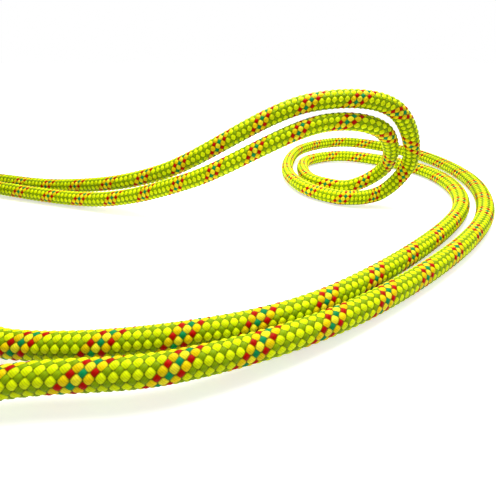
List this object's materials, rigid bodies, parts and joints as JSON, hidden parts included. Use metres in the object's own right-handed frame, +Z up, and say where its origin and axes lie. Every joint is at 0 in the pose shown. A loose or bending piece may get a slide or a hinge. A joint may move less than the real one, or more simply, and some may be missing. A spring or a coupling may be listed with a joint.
{
  "type": "climbing rope",
  "caption": "Braided dynamic climbing rope laid double, rising into an arch and a loop, with its far length in a neat coil and a blank sleeve on each end.",
  "frame": {"origin": "middle of the footprint of the whole laid-out rope, on the surface it lies on", "axes": "+Z up from the surface, +X to the picture's right, +Y away from its camera"},
  "size_m": [0.5908, 0.4008, 0.0727],
  "materials": {
    "sheath_braid": "soft sheen polyamide braid, lime with a red and teal tracer",
    "core_nylon": "twisted white polyamide yarn",
    "end_sleeve": "satin heat-shrunk tube, blank",
    "fused_tip": "melted and hardened yarn"
  },
  "bodies": {
    "root": {"sheath_free_run": "sheath_braid", "core_strand_centre": "core_nylon", "core_strand_1": "core_nylon", "core_strand_2": "core_nylon", "core_strand_3": "core_nylon", "core_strand_4": "core_nylon", "core_strand_5": "core_nylon", "core_strand_6": "core_nylon", "coil_outer_turns": "sheath_braid", "coil_inner_turns": "sheath_braid", "end_sleeve_free": "end_sleeve", "fused_tip_free": "fused_tip", "end_sleeve_coil": "end_sleeve", "fused_tip_coil": "fused_tip"}
  },
  "joints": []
}
